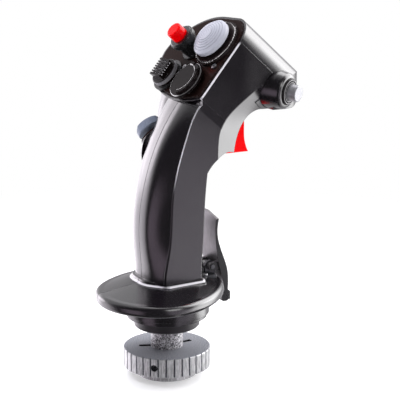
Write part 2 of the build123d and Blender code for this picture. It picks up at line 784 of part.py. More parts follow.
def trigger():
    """The red trigger blade with a concave front and a hub round its pin."""
    y, z = TRIGGER_PIVOT
    edges = Spline((47.0, 147.6), (48.2, 141.5), (48.2, 135.0), (49.2, 129.5), (51.0, 125.2))
    edges += Polyline((51.0, 125.2), (36.0, 125.6), (33.8, 138.0), (33.8, 153.0), (47.0, 147.6))
    blade = side_solid(edges, -TRIGGER_HALF, TRIGGER_HALF)
    blade += bar_x(4.2, -TRIGGER_HALF, TRIGGER_HALF, y, z)
    return blade - bar_x(TRIGGER_PIN_R + RUNNING_GAP, -9, 9, y, z)


def trigger_pin():
    """The pin the trigger swings on, held at both ends in the cheeks."""
    return bar_x(TRIGGER_PIN_R, -12.8, 12.8, *TRIGGER_PIVOT)


def trigger_switches():
    """Two small switches, one for each stage of the trigger."""
    first = box_between((-5, 25.05, 132.0), (5, 28.4, 138.5))
    second = box_between((-5, 25.05, 139.0), (5, 27.8, 140.9))
    return [first, second]


def trigger_spring():
    """The spring that pushes the trigger forward."""
    return Pos(0, 25.35, 129.9) * Rot(-90, 0, 0) * coil(1.6, 0.25, 9.2, 7)


def paddle_bracket():
    """The bracket on the hand rest that the paddle swings on."""
    y, z = PADDLE_PIVOT
    base = box_between((-9.0, 18.3, FLANGE_TOP), (9.0, 28.0, FLANGE_TOP + 1.8))
    post = box_between((-4.2, y - 3.2, FLANGE_TOP), (4.2, y + 3.2, z))
    post += bar_x(3.2, -4.2, 4.2, y, z)
    post -= box_between((-2.3, y - 4, z - 3.4), (2.3, y + 4, z + 4))
    body = base + post
    body -= bar_x(PADDLE_PIN_R + 0.03, -9, 9, y, z)
    for place in BRACKET_SCREWS:
        body -= tube_z(1.3, 50, 60, *place)
    return body


def bracket_screws():
    """Two screws that hold the bracket to the hand rest."""
    top = FLANGE_TOP + 1.8
    return [Pos(x, y, top) * screw(2.1, 1.3, 1.25, 5.5) for x, y in BRACKET_SCREWS]


def paddle_lever():
    """The long finger lever: thin at its top, thick beside its pivot."""
    y, z = PADDLE_PIVOT
    inner = Spline((29.6, 91.6), (27.9, 85.0), (27.9, 78.5), (29.2, 67.0), (31.8, 56.0), (34.4, 44.5))
    heel = ((36.4, 44.5), (36.6, 51.0), (36.0, 58.0), (33.9, 64.5))
    outer = Spline(*heel, (30.9, 72.5), (29.4, 79.0), (29.5, 85.0), (31.0, 91.2))
    edges = inner + outer + Line((31.0, 91.2), (29.6, 91.6)) + Line((34.4, 44.5), (36.4, 44.5))
    body = side_solid(edges, PADDLE_LEFT, PADDLE_RIGHT)
    for left in (-6.9, 4.5):
        body += box_between((left, y, z - 2.4), (left + 2.4, 33.0, z + 2.4))
        body += bar_x(2.4, left, left + 2.4, y, z)
    body -= bar_x(PADDLE_PIN_R + RUNNING_GAP, -12, 12, y, z)
    slope = Pos(0, 30, 93.4) * Rot(0, 12, 0) * Box(40, 20, 6)
    return body - slope


def paddle_pin():
    """The paddle's hinge pin."""
    return bar_x(PADDLE_PIN_R, -7.4, 7.4, *PADDLE_PIVOT)


def paddle_spring():
    """Torsion spring wound round the paddle's pin."""
    y, z = PADDLE_PIVOT
    return Pos(-1.9, y, z) * Rot(0, 90, 0) * coil(2.0, 0.3, 3.8, 4)


def paddle_grip():
    """Ribbed rubber end of the paddle, below the hand rest."""
    block = box_between((-7, 33.6, 38.0), (6, 38.4, 44.45))
    block = fillet(block.edges().filter_by(Axis.X).sort_by(Axis.Z)[:2], 1.6)
    for k in range(6):
        block += box_between((-6.6 + 2.2 * k, 38.2, 38.6), (-5.4 + 2.2 * k, 39.6, 43.6))
    return block


def paddle_switch():
    """The switch the paddle's heel presses, standing on the bracket."""
    return box_between((-3.9, 18.4, FLANGE_TOP + 1.8), (3.9, 22.6, FLANGE_TOP + 5.6))


def write_all():
    """Build every piece and write it under its node's name."""
    os.makedirs("parts", exist_ok=True)
    shell_left, shell_right = shells()
    trim = HEAD.location * Pos(*TRIM_AT, 0)
    release = HEAD.location * Pos(*RELEASE_AT, 0)
    castle = HEAD.location * Pos(*CASTLE_AT, 0)
    ridged = HEAD.location * Pos(*RIDGED_AT, 0)
    selector = SELECTOR.location
    index = INDEX.location
    pieces = {
        "shell_left": shell_left,
        "shell_right": shell_right,
        "faceplate": faceplate(),
        "neck_casting": neck_casting(),
        "neck_screws": neck_screws(),
        "shell_screws": shell_screws(),
        "faceplate_screws": plate_screws(),
        "top_screw": top_screw(),
        "connector_insert": connector_insert(),
        "connector_pins": connector_pins(),
        "control_board": control_board(),
        "wiring_harness": wiring_harness(),
        "slip_washer": washer(),
        "coupling_nut": coupling_nut(),
        "nut_set_screw": nut_set_screw(),
        "trim_bezel": trim * trim_bezel(),
        "trim_switch": trim * hat_switch(),
        "trim_gimbal": trim * gimbal(),
        "trim_hat": trim * trim_hat(),
        "release_collar": release * release_collar(),
        "release_button": release * release_button(),
        "release_spring": release * Pos(0, 0, -10.7) * coil(4.3, 0.25, 4.2, 3),
        "release_switch": release * release_switch(),
        "castle_switch": castle * castle_switch(),
        "castle_carriage": castle * castle_carriage(),
        "castle_gimbal": castle * gimbal(),
        "castle_hat": castle * castle_hat(),
        "ridged_bezel": ridged * ridged_bezel(),
        "ridged_switch": ridged * hat_switch(),
        "ridged_gimbal": ridged * gimbal(),
        "ridged_hat": ridged * ridged_hat(),
        "selector_bezel": selector * selector_bezel(),
        "selector_switch": selector * selector_switch(),
        "selector_gimbal": selector * gimbal(),
        "selector_cap": selector * selector_cap(),
        "index_bezel": index * index_bezel(),
        "index_button": index * index_button(),
        "index_spring": index * Pos(0, 0, -5.7) * coil(3.2, 0.25, 3.2, 3),
        "index_switch": index * index_switch(),
        "trigger": trigger(),
        "trigger_pin": trigger_pin(),
        "trigger_switches": trigger_switches(),
        "trigger_spring": trigger_spring(),
        "paddle_bracket": paddle_bracket(),
        "bracket_screws": bracket_screws(),
        "paddle_lever": paddle_lever(),
        "paddle_pin": paddle_pin(),
        "paddle_spring": paddle_spring(),
        "paddle_grip": paddle_grip(),
        "paddle_switch": paddle_switch(),
    }
    for name, shape in pieces.items():
        write(shape, name)


write_all()
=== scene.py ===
import json
import math

import bpy
from mathutils import Matrix, Vector


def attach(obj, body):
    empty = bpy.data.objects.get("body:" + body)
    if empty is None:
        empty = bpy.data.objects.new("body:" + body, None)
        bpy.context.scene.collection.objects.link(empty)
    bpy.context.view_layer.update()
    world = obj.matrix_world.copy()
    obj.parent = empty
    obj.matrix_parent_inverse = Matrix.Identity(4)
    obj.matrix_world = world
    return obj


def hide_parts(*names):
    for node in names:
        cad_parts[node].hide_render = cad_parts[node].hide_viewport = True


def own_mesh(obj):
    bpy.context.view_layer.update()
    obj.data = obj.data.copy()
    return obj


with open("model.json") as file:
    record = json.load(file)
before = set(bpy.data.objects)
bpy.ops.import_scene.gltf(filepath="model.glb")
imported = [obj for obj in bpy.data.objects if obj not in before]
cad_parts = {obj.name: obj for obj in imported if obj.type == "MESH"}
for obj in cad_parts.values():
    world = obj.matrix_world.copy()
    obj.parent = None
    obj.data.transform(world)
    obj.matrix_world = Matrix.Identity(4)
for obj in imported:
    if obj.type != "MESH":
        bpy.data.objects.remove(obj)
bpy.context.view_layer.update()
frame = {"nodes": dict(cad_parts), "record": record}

scene = bpy.context.scene
nodes = frame["nodes"]
MM = 0.001

# ---------------------------------------------------------------- shader helpers


class Shader:
    """A material's node tree, with short calls to add and join nodes."""

    def __init__(self, name):
        self.material = bpy.data.materials.new(name)
        self.material.use_nodes = True
        self.tree = self.material.node_tree
        self.bsdf = self.tree.nodes["Principled BSDF"]
        self.place = self.add("ShaderNodeTexCoord").outputs["Object"]

    def add(self, kind, **inputs):
        node = self.tree.nodes.new(kind)
        for key, value in inputs.items():
            self.feed(node, key.replace("_", " "), value)
        return node

    def feed(self, node, key, value):
        if isinstance(value, bpy.types.NodeSocket):
            self.tree.links.new(value, node.inputs[key])
        else:
            node.inputs[key].default_value = value

    def math(self, operation, a, b=0.0, clamp=False):
        node = self.tree.nodes.new("ShaderNodeMath")
        node.operation, node.use_clamp = operation, clamp
        self.feed(node, 0, a)
        self.feed(node, 1, b)
        return node.outputs[0]

    def ramp(self, value, low, high, to_low=0.0, to_high=1.0):
        """A smooth step of a value, which may also fall."""
        node = self.add("ShaderNodeMapRange")
        node.interpolation_type = "SMOOTHSTEP"
        for key, v in zip((0, 1, 2, 3, 4), (value, low, high, to_low, to_high)):
            self.feed(node, key, v)
        return node.outputs[0]

    def stretched(self, factors, where=None):
        """The place, scaled along each axis, so that a pattern on it looks brushed."""
        node = self.add("ShaderNodeMapping")
        self.feed(node, "Vector", where or self.place)
        node.inputs["Scale"].default_value = factors
        return node.outputs[0]

    def noise(self, size_mm, detail=2.0, rough=0.5, where=None):
        node = self.add("ShaderNodeTexNoise")
        self.feed(node, "Vector", where or self.place)
        self.feed(node, "Scale", 1.0 / (size_mm * MM))
        self.feed(node, "Detail", detail)
        self.feed(node, "Roughness", rough)
        return node.outputs["Fac"]

    def mix(self, factor, a, b, blend="MIX"):
        node = self.tree.nodes.new("ShaderNodeMix")
        node.data_type, node.blend_type = "RGBA", blend
        self.feed(node, 0, factor)
        self.feed(node, 6, a)
        self.feed(node, 7, b)
        return node.outputs[2]

    def bump(self, height, depth_mm, normal=None):
        node = self.add("ShaderNodeBump", Strength=1.0, Distance=depth_mm * MM, Height=height)
        if normal is not None:
            self.feed(node, "Normal", normal)
        return node.outputs["Normal"]

    def about_axis(self, origin_mm, axis):
        """(distance from an axis, height along it) of the point, in metres."""
        axis = Vector(axis).normalized()
        offset = self.vector("SUBTRACT", self.place, Vector(origin_mm) * MM)
        height = self.vector("DOT_PRODUCT", offset, axis, "Value")
        scaled = self.tree.nodes.new("ShaderNodeVectorMath")
        scaled.operation = "SCALE"
        scaled.inputs[0].default_value = axis
        self.feed(scaled, "Scale", height)
        across = self.vector("SUBTRACT", offset, scaled.outputs[0])
        return self.vector("LENGTH", across, None, "Value"), height

    def vector(self, operation, a, b, output="Vector"):
        node = self.tree.nodes.new("ShaderNodeVectorMath")
        node.operation = operation
        self.feed(node, 0, a)
        if b is not None:
            self.feed(node, 1, b)
        return node.outputs[output]

    def facing_along(self, axis):
        """How squarely the surface faces along a direction."""
        face = self.add("ShaderNodeNewGeometry").outputs["True Normal"]
        return self.vector("DOT_PRODUCT", face, Vector(axis).normalized(), "Value")

    def both(self, *masks):
        """The product of masks."""
        total = masks[0]
        for mask in masks[1:]:
            total = self.math("MULTIPLY", total, mask)
        return total

    def between(self, value, low_mm, high_mm, soft_mm=0.05):
        """1 inside a range of distances, 0 outside."""
        rise = self.ramp(value, (low_mm - soft_mm) * MM, (low_mm + soft_mm) * MM)
        fall = self.ramp(value, (high_mm - soft_mm) * MM, (high_mm + soft_mm) * MM, 1.0, 0.0)
        return self.math("MULTIPLY", rise, fall)

    def repaint(self, mask, colour, rough, metal=None):
        """Lays another colour and roughness over the finished surface where the mask is 1."""
        old_colour = self.bsdf.inputs["Base Color"].links[0].from_socket
        self.feed(self.bsdf, "Base Color", self.mix(mask, old_colour, rgba(colour)))
        old_rough = self.bsdf.inputs["Roughness"].links[0].from_socket
        self.feed(self.bsdf, "Roughness", self.blend_value(mask, old_rough, rough))
        if metal is not None:
            start = self.bsdf.inputs["Metallic"].default_value
            self.feed(self.bsdf, "Metallic", self.blend_value(mask, start, metal))

    def blend_value(self, mask, a, b):
        """Value a where the mask is 0 and b where it is 1."""
        node = self.add("ShaderNodeMix")
        node.data_type = "FLOAT"
        self.feed(node, 0, mask)
        self.feed(node, 2, a)
        self.feed(node, 3, b)
        return node.outputs[0]

    def edge(self, radius_mm):
        """(rounded normal, how near an edge the point is)."""
        bevel = self.add("ShaderNodeBevel", Radius=radius_mm * MM)
        bevel.samples = 4
        face = self.add("ShaderNodeNewGeometry").outputs["True Normal"]
        closeness = self.vector("DOT_PRODUCT", bevel.outputs[0], face, "Value")
        return bevel.outputs[0], self.ramp(closeness, 0.995, 0.85)


def rgba(colour):
    """A colour with full alpha."""
    return (*colour, 1.0)


# Sizes of the slow colour variation and of the scuffs on worn edges (on the black parts also painted edge
# highlights), in mm.
BLOTCH_MM = 14.0
SCUFF_MM = 1.6


def finish(
    name, colour, metal=0.0, rough=0.4, grain=(0.5, 0.004), speckle=0.15, blotch=0.15,
    edge_wear_and_glint=None, edge_mark_share=0.4, round_mm=0.35, brushed=None, peel=None, shine=0.5, ior=1.5,
):
    """A painted, moulded or machined surface. Grain and peel are (size, depth) in mm, edge_wear_and_glint is
    the colour of its scuffed edges, which on the black parts is also a painted highlight along them,
    edge_mark_share how much of that colour is laid on, round_mm how far its edges look rounded, and brushed
    the stretch of its grain."""
    s = Shader(name)
    normal, near_edge = s.edge(round_mm)
    where = s.stretched(brushed) if brushed else s.place
    fine = s.noise(grain[0], 3.0, 0.6, where)
    broad = s.noise(BLOTCH_MM, 3.0, 0.55)
    dark = tuple(c * (1 - speckle) for c in colour)
    light = tuple(min(1.0, c * (1 + speckle)) for c in colour)
    base = s.mix(s.ramp(fine, 0.3, 0.7), rgba(dark), rgba(light))
    base = s.mix(s.ramp(broad, 0.3, 0.7), base, rgba((1 - blotch,) * 3), "MULTIPLY")
    roughness = s.ramp(fine, 0.2, 0.8, rough * 0.88, min(1.0, rough * 1.12))
    roughness = s.math("MULTIPLY", roughness, s.ramp(broad, 0.25, 0.75, 0.9, 1.12), clamp=True)
    if edge_wear_and_glint:
        # Pale scuffs near edges: real wear, and on the black parts also a painted highlight along the edges.
        scuffs = s.ramp(s.noise(SCUFF_MM, 4.0, 0.65), 0.42, 0.62)
        mask = s.math("MULTIPLY", s.math("MULTIPLY", near_edge, scuffs), edge_mark_share)
        base = s.mix(mask, base, rgba(edge_wear_and_glint))
        roughness = s.math("ADD", roughness, s.math("MULTIPLY", mask, 0.12), clamp=True)
    normal = s.bump(fine, grain[1], normal)
    if peel:
        normal = s.bump(s.noise(peel[0], 1.0, 0.4), peel[1], normal)
    s.feed(s.bsdf, "Base Color", base)
    s.feed(s.bsdf, "Metallic", metal)
    s.feed(s.bsdf, "Roughness", roughness)
    s.feed(s.bsdf, "Normal", normal)
    s.feed(s.bsdf, "Specular IOR Level", shine)
    s.feed(s.bsdf, "IOR", ior)
    return s


def paint_node(name, material):
    """Gives every face of a CAD node one material."""
    mesh = nodes[name].data
    mesh.materials.clear()
    mesh.materials.append(material)
    for face in mesh.polygons:
        face.material_index = 0


# ---------------------------------------------------------------- places on the grip, in mm

# The column's flat right side leans out by this much for each mm down from the head.
SIDE_SLOPE = math.tan(math.radians(0.7))

# The head's face: a point on it, and the directions up along it and out of it.
HEAD_TILT = math.radians(41.0)
HEAD_ORIGIN = Vector((0, 8.8, 157.3))
HEAD_UP = Vector((0, math.sin(HEAD_TILT), math.cos(HEAD_TILT)))
HEAD_OUT = Vector((0, -math.cos(HEAD_TILT), math.sin(HEAD_TILT)))

# Where the hats stand on the face: (across, up).
TRIM_AT = (0.8, 38.8)
CASTLE_AT = (0.0, 11.6)
RIDGED_AT = (-24.2, 12.8)

DOME_RING_PITCH = 1.25

# The index button's axis.
INDEX_TURN = math.radians(24)
INDEX_ORIGIN = Vector((20.2, 66.8, 160.6))
INDEX_OUT = Vector((math.cos(INDEX_TURN), math.sin(INDEX_TURN), -0.11)).normalized()

# The nut: the radius where its teeth's bright lands begin, and the heights of its top and its hub's top.
NUT_LAND_R = 24.6
NUT_TOP = 16.2
NUT_HUB_TOP = 5.2

# Heights where the neck's smooth ring begins and where the paddle's black tail ends.
NECK_RING_LOW = 28.4
PADDLE_TAIL_TOP = 49.5

# Heights of the column's foot bead and of the hand rest's upper skin.
BEAD = (56.75, 57.7)
REST_SKIN = (53.5, 56.6)


def head_point(across, up):
    """A place on the head's face, in mm."""
    return HEAD_ORIGIN + Vector((across, 0, 0)) + HEAD_UP * up


# ---------------------------------------------------------------- finishes


def shell_finish():
    """Satin black paint with painted highlights along the column's crease, the face's right rim and the foot
    bead.
    """
    s = finish(
        "shell_paint", (0.0055, 0.0042, 0.0062), rough=0.20, grain=(0.55, 0.007), speckle=0.3,
        edge_wear_and_glint=(0.20, 0.19, 0.21), edge_mark_share=0.35, peel=(3.0, 0.006), round_mm=0.5, ior=2.0,
    )
    split = s.add("ShaderNodeSeparateXYZ")
    s.feed(split, 0, s.place)
    across, forward, height = (split.outputs[axis] for axis in "XYZ")
    _radius, up_face = s.about_axis(HEAD_ORIGIN, HEAD_UP)
    _radius, out_of_face = s.about_axis(HEAD_ORIGIN, HEAD_OUT)

    # Painted highlights: pale lines along the column's crease, the face's right rim and the foot bead stand
    # in for the reflections on those edges.
    flat_at = s.math("ADD", across, s.math("MULTIPLY", s.math("MINIMUM", up_face, 0.0), SIDE_SLOPE))
    off_flat = s.ramp(s.facing_along((1, 0, 0)), 0.985, 0.97)
    crease = s.both(s.ramp(flat_at, 16.95 * MM, 17.15 * MM), off_flat)
    crease = s.both(crease, s.ramp(height, 108 * MM, 126 * MM), s.ramp(forward, 15 * MM, 12 * MM))
    face_rim = s.both(s.between(out_of_face, -0.9, 0.3, 0.1), s.ramp(across, 16.9 * MM, 17.3 * MM))
    face_rim = s.both(face_rim, s.between(up_face, 5.5, 43.0, 1.5))
    foot = s.both(s.between(height, *BEAD, 0.15), s.ramp(forward, 19 * MM, 17 * MM))
    painted_highlight = s.math("MAXIMUM", s.math("MAXIMUM", crease, face_rim), foot)
    s.repaint(painted_highlight, (0.72, 0.70, 0.75), 0.35)

    flat_side = s.both(s.ramp(across, 17.2 * MM, 17.4 * MM), s.ramp(up_face, -0.4 * MM, 0.4 * MM))
    flat_side = s.both(flat_side, s.ramp(forward, 52 * MM, 34 * MM))
    s.feed(s.bsdf, "Specular IOR Level", s.ramp(flat_side, 0.0, 1.0, 0.5, 0.2))
    rest_left = s.both(s.ramp(across, -0.1 * MM, -0.3 * MM), s.between(height, *REST_SKIN, 0.1))
    smooth = s.bsdf.inputs["Roughness"].links[0].from_socket
    s.feed(s.bsdf, "Roughness", s.blend_value(s.math("MULTIPLY", rest_left, 0.8), smooth, 0.55))
    return s.material


def bezel_finish():
    """Gloss black with a ring of worn, pale patches on its flat rim."""
    s = finish(
        "bezel_gloss", (0.014, 0.009, 0.009), rough=0.16, grain=(0.4, 0.002), speckle=0.2,
        edge_wear_and_glint=(0.45, 0.44, 0.45), edge_mark_share=0.6, round_mm=0.12, shine=0.15,
    )
    radius, height = s.about_axis(head_point(*TRIM_AT), HEAD_OUT)
    chips = s.ramp(s.noise(0.8, 2.0, 0.5), 0.40, 0.52)
    mask = s.math("MULTIPLY", s.between(height, 2.5, 3.0), s.between(radius, 13.6, 14.45))
    s.repaint(s.math("MULTIPLY", mask, chips), (0.70, 0.68, 0.68), 0.4)
    return s.material


def index_bezel_finish():
    """Black ring with two steel-grey lips, one each side of its groove."""
    s = finish(
        "index_bezel_black", (0.012, 0.011, 0.012), rough=0.30, grain=(0.35, 0.003), speckle=0.2,
        edge_wear_and_glint=(0.5, 0.5, 0.5), edge_mark_share=0.3, round_mm=0.12, shine=0.12,
    )
    radius, _height = s.about_axis(INDEX_ORIGIN, INDEX_OUT)
    lips = s.math("MAXIMUM", s.between(radius, 6.5, 6.95), s.between(radius, 5.3, 5.62))
    s.repaint(lips, (0.50, 0.49, 0.50), 0.45)
    return s.material


def hat_finish(name):
    """Gloss black with worn edges, also painted highlights along them, ready for a hat's own marks."""
    return finish(
        name, (0.006, 0.004, 0.004), rough=0.16, grain=(0.4, 0.002), speckle=0.2,
        edge_wear_and_glint=(0.45, 0.44, 0.45), edge_mark_share=0.7, round_mm=0.12, shine=0.12,
    )


def castle_finish():
    """Gloss black hat with painted highlights along the left of its disc's edge and on the top of its wall.
    """
    s = hat_finish("castle_gloss")
    radius, height = s.about_axis(head_point(*CASTLE_AT), HEAD_OUT)
    split = s.add("ShaderNodeSeparateXYZ")
    s.feed(split, 0, s.place)
    # Painted highlight along the disc's edge, strongest on its left.
    edge = s.both(s.between(height, 4.5, 5.0), s.ramp(radius, 10.9 * MM, 11.0 * MM))
    edge = s.both(edge, s.ramp(split.outputs["X"], 5 * MM, 1 * MM, 0.15, 1.0))
    s.repaint(edge, (0.66, 0.64, 0.65), 0.35)
    # Painted highlight along the top of the wall.
    wall_highlight = s.both(s.ramp(height, 6.6 * MM, 6.9 * MM), s.between(radius, 8.2, 8.9))
    s.repaint(wall_highlight, (0.62, 0.60, 0.61), 0.3)
    return s.material


def ridged_finish():
    """Black ribs with pale gaps on a dark grey base."""
    s = hat_finish("ridged_gloss")
    _radius, height = s.about_axis(head_point(*RIDGED_AT), HEAD_OUT)
    gap = s.both(s.between(height, 7.8, 8.4), s.ramp(s.facing_along(HEAD_OUT), 0.8, 0.9))
    s.repaint(gap, (0.62, 0.61, 0.63), 0.4)
    s.repaint(s.between(height, 3.0, 5.3, 0.3), (0.20, 0.195, 0.21), 0.35)
    return s.material


def dome_finish():
    """Pale plastic with fine dark rings for the thumb: painted shade in its ring grooves."""
    s = finish(
        "dome_grey", (0.45, 0.46, 0.53), rough=0.36, grain=(0.3, 0.003), speckle=0.05, blotch=0.05,
        edge_wear_and_glint=(0.7, 0.7, 0.75), edge_mark_share=0.3, round_mm=0.1, shine=0.3,
    )
    radius, height = s.about_axis(head_point(*TRIM_AT), HEAD_OUT)
    turn = s.math("FRACT", s.math("ADD", s.math("DIVIDE", radius, DOME_RING_PITCH * MM), 0.5))
    off_groove = s.math("ABSOLUTE", s.math("SUBTRACT", turn, 0.5))
    # Painted shade in the ring grooves.
    groove_shade = s.both(s.ramp(off_groove, 0.2, 0.06), s.ramp(radius, 1.0 * MM, 1.2 * MM))
    groove_shade = s.both(groove_shade, s.ramp(radius, 10.4 * MM, 10.3 * MM), s.ramp(height, 7.0 * MM, 7.5 * MM))
    s.repaint(s.math("MULTIPLY", groove_shade, 0.75), (0.24, 0.24, 0.30), 0.5)
    return s.material


def casting_finish():
    """Coarse, pitted cast neck below a smooth black ring."""
    s = finish(
        "cast_grey", (0.50, 0.49, 0.51), metal=0.5, rough=0.42, grain=(0.9, 0.20), speckle=0.85,
        edge_wear_and_glint=(0.8, 0.8, 0.8), edge_mark_share=0.4, round_mm=0.3,
    )
    pits = s.ramp(s.noise(1.4, 3.0, 0.6), 0.55, 0.61)
    _radius, height = s.about_axis((0, 0, 0), (0, 0, 1))
    s.repaint(s.math("MULTIPLY", pits, 0.8), (0.03, 0.03, 0.035), 0.6)
    ring = s.ramp(height, NECK_RING_LOW * MM, (NECK_RING_LOW + 0.4) * MM)
    s.repaint(ring, (0.016, 0.014, 0.017), 0.34, 0.0)
    return s.material


shell_paint = shell_finish()
castle_gloss = castle_finish()
ridged_gloss = ridged_finish()
bezel_gloss = bezel_finish()
index_bezel_black = index_bezel_finish()
plate_gloss = finish(
    "plate_gloss", (0.016, 0.008, 0.007), rough=0.14, grain=(0.4, 0.002), speckle=0.2,
    edge_wear_and_glint=(0.3, 0.29, 0.3), edge_mark_share=0.5, peel=(4.0, 0.004), round_mm=0.2, shine=0.05,
).material
# Its pale worn edges are also painted highlights, such as the white arcs on the release barrel's rims.
black_plastic = finish(
    "black_plastic", (0.010, 0.010, 0.011), rough=0.30, grain=(0.4, 0.004), speckle=0.2,
    edge_wear_and_glint=(0.50, 0.50, 0.50), edge_mark_share=0.85, round_mm=0.14,
).material
dome_grey = dome_finish()
signal_red = finish(
    "signal_red", (0.88, 0.0, 0.002), rough=0.18, grain=(0.35, 0.003), speckle=0.05, blotch=0.05,
    edge_wear_and_glint=(0.85, 0.03, 0.03), edge_mark_share=0.3, round_mm=0.4, shine=0.12,
).material
silver = finish(
    "silver", (0.34, 0.34, 0.36), metal=0.6, rough=0.38, grain=(0.3, 0.002), speckle=0.08,
    edge_wear_and_glint=(0.9, 0.9, 0.9), edge_mark_share=0.4, round_mm=0.2,
).material
cast_grey = casting_finish()


def nut_finish():
    """Blasted grey on the nut's top, painted shade in its grooves and slots, bright metal on its teeth and
    hub.
    """
    s = Shader("nut_metal")
    normal, near_edge = s.edge(0.2)
    fine = s.noise(0.6, 3.0, 0.6)
    turned = s.noise(0.5, 3.0, 0.6, s.stretched((1.0, 1.0, 0.12)))
    radius, height = s.about_axis((0, 0, 0), (0, 0, 1))
    lands = s.ramp(radius, NUT_LAND_R * MM, (NUT_LAND_R + 0.25) * MM)
    lip = s.ramp(height, (NUT_HUB_TOP + 0.2) * MM, (NUT_HUB_TOP - 0.3) * MM)
    lip = s.both(lip, s.ramp(radius, 16.6 * MM, 17.2 * MM))
    bright = s.math("MAXIMUM", lands, lip)
    bright = s.math("MAXIMUM", bright, s.math("MULTIPLY", near_edge, 0.8))
    blasted = s.mix(s.ramp(fine, 0.3, 0.7), rgba((0.13, 0.136, 0.16)), rgba((0.40, 0.41, 0.45)))
    # Painted shade: the groove round the top and the slots are coloured near black.
    groove_shade = s.both(s.ramp(radius, 24.5 * MM, 23.8 * MM), s.ramp(height, 16.0 * MM, 15.4 * MM))
    blasted = s.mix(groove_shade, blasted, rgba((0.012, 0.012, 0.014)))
    below_top = s.ramp(height, (NUT_TOP - 0.05) * MM, (NUT_TOP - 0.2) * MM)
    slot = s.both(below_top, s.between(radius, 9.6, 16.3))
    blasted = s.mix(slot, blasted, rgba((0.008, 0.008, 0.009)))
    machined = s.mix(s.ramp(turned, 0.3, 0.7), rgba((0.36, 0.36, 0.37)), rgba((0.72, 0.72, 0.73)))
    s.feed(s.bsdf, "Base Color", s.mix(bright, blasted, machined))
    s.feed(s.bsdf, "Metallic", s.ramp(bright, 0.0, 1.0, 0.35, 0.5))
    s.feed(s.bsdf, "Roughness", s.ramp(bright, 0.0, 1.0, 0.6, 0.42))
    s.feed(s.bsdf, "Normal", s.bump(turned, 0.02, s.bump(fine, 0.04, normal)))
    return s.material


nut_metal = nut_finish()


def paddle_finish():
    """Brushed grey lever with black sides and a black tail."""
    s = finish(
        "paddle_metal", (0.20, 0.19, 0.20), metal=0.6, rough=0.34, grain=(0.35, 0.004), speckle=0.18,
        brushed=(1.0, 1.0, 0.06), edge_wear_and_glint=(0.7, 0.7, 0.7), edge_mark_share=0.4, round_mm=0.3,
    )
    sides = s.ramp(s.math("ABSOLUTE", s.facing_along((1, 0, 0))), 0.55, 0.75)
    _radius, height = s.about_axis((0, 0, 0), (0, 0, 1))
    black = s.math("MAXIMUM", sides, s.ramp(height, PADDLE_TAIL_TOP * MM, (PADDLE_TAIL_TOP - 1) * MM))
    s.repaint(black, (0.008, 0.008, 0.009), 0.3, 0.0)
    return s.material


paddle_metal = paddle_finish()
dark_steel = finish(
    "dark_steel", (0.10, 0.10, 0.11), metal=0.7, rough=0.35, grain=(0.35, 0.004), speckle=0.2,
    edge_wear_and_glint=(0.4, 0.4, 0.4), edge_mark_share=0.4, round_mm=0.25,
).material
selector_blue = finish(
    "selector_blue", (0.21, 0.24, 0.32), rough=0.4, grain=(0.5, 0.01), speckle=0.3,
    edge_wear_and_glint=(0.4, 0.4, 0.45), edge_mark_share=0.4, round_mm=0.3,
).material
screw_steel = finish(
    "screw_steel", (0.30, 0.30, 0.31), metal=1.0, rough=0.3, grain=(0.3, 0.003), speckle=0.15,
    edge_wear_and_glint=(0.7, 0.7, 0.7), edge_mark_share=0.4, round_mm=0.2,
).material
spring_steel = finish(
    "spring_steel", (0.55, 0.55, 0.56), metal=1.0, rough=0.28, grain=(0.3, 0.003), speckle=0.1, round_mm=0.1,
).material
switch_plastic = finish(
    "switch_plastic", (0.05, 0.05, 0.055), rough=0.5, grain=(0.4, 0.01), round_mm=0.2,
).material
gimbal_plastic = finish(
    "gimbal_plastic", (0.03, 0.03, 0.03), rough=0.42, grain=(0.4, 0.008), round_mm=0.2,
).material
contact_brass = finish(
    "contact_brass", (0.72, 0.50, 0.18), metal=1.0, rough=0.3, grain=(0.3, 0.003), speckle=0.12,
    round_mm=0.15,
).material
board_green = finish(
    "board_green", (0.02, 0.12, 0.05), rough=0.4, grain=(0.4, 0.004), round_mm=0.1,
).material
wire_sleeve = finish(
    "wire_sleeve", (0.02, 0.02, 0.02), rough=0.55, grain=(0.4, 0.02), round_mm=0.1,
).material

# The finish of each material slot, and the nodes whose own finish comes before their slot's.
BY_SLOT = {
    "black_paint": shell_paint, "gloss_black": plate_gloss, "matte_black": black_plastic,
    "dome_grey": dome_grey, "signal_red": signal_red, "silver": silver, "dark_steel": dark_steel,
    "cast_grey": cast_grey, "nut_metal": nut_metal, "paddle_metal": paddle_metal,
    "selector_blue": selector_blue, "screw_steel": screw_steel, "spring_steel": spring_steel,
    "switch_plastic": switch_plastic, "gimbal_plastic": gimbal_plastic,
    "contact_brass": contact_brass, "board_green": board_green, "wire_sleeve": wire_sleeve,
}
slot_of = {row["node"]: row["material_slot"] for row in frame["record"]["subparts"]}
BY_NODE = {
    "trim_bezel": bezel_gloss, "index_bezel": index_bezel_black,
    "castle_hat": castle_gloss, "ridged_hat": ridged_gloss,
}
for name in nodes:
    paint_node(name, BY_NODE.get(name) or BY_SLOT[slot_of[name]])

# ---------------------------------------------------------------- springs

# Each coil spring: the joint that presses it, its direction from the fixed end, that end in mm, and the
# share of its length left at full travel.
COILS = {
    "release_spring": ("release_press", HEAD_OUT, HEAD_ORIGIN - 10.7 * HEAD_OUT, 0.33),
    "index_spring": ("index_press", INDEX_OUT, INDEX_ORIGIN - 5.7 * INDEX_OUT, 0.40),
    "trigger_spring": ("trigger_pull", Vector((0, 1, 0)), Vector((0, 25.35, 129.9)), 0.48),
}
for name, (joint, line, fixed_end, keep) in COILS.items():
    coil = bpy.data.objects.new(name + "_coil", nodes[name].data.copy())
    coil.matrix_world = nodes[name].matrix_world.copy()
    scene.collection.objects.link(coil)
    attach(coil, "grip")
    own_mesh(coil)
    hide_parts(name)

# ---------------------------------------------------------------- studio

